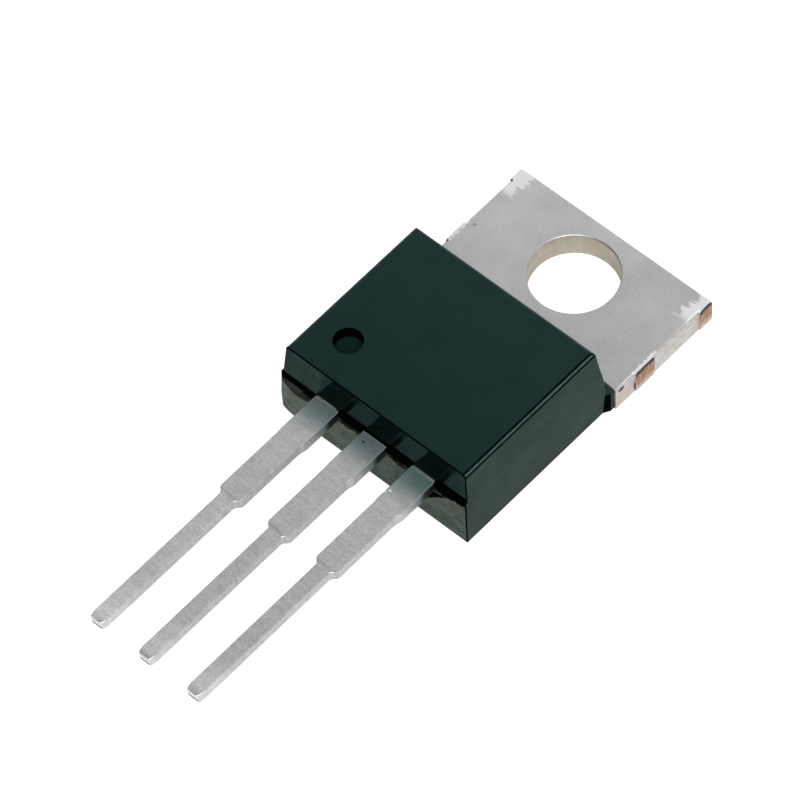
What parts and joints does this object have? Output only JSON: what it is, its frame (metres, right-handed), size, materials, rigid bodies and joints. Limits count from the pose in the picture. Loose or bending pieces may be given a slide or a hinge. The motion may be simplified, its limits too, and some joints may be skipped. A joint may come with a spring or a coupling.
{
  "type": "power transistor",
  "caption": "Flat-tab power transistor: moulded resin body on a tinned copper tab with a screw hole, and a row of straight flat leads with wide shoulders.",
  "frame": {"origin": "centre of the tab's mounting hole on the seating face", "axes": "+Z out of the seating face through the tab to the top face, +Y to the free end of the tab, leads towards -Y, +X to the right when looking along +Y from above, so the base lead by the dimple is at -X"},
  "size_m": [0.01, 0.0277, 0.0046],
  "materials": {
    "moulding_resin": "black epoxy moulding compound, satin top, rougher sides",
    "tinned_copper": "matt tin over copper, bare copper where the strip was sheared",
    "lead_tin": "matt tin over copper",
    "silicon": "dark polished silicon with pale metal pads",
    "soft_solder": "dull lead-tin solder",
    "bond_wire": "soft drawn aluminium"
  },
  "bodies": {
    "root": {"mould_body": "moulding_resin", "header_tab": "tinned_copper", "base_lead": "lead_tin", "emitter_lead": "lead_tin", "silicon_die": "silicon", "die_solder": "soft_solder", "base_wire": "bond_wire", "emitter_wire_1": "bond_wire", "emitter_wire_2": "bond_wire"}
  },
  "joints": []
}
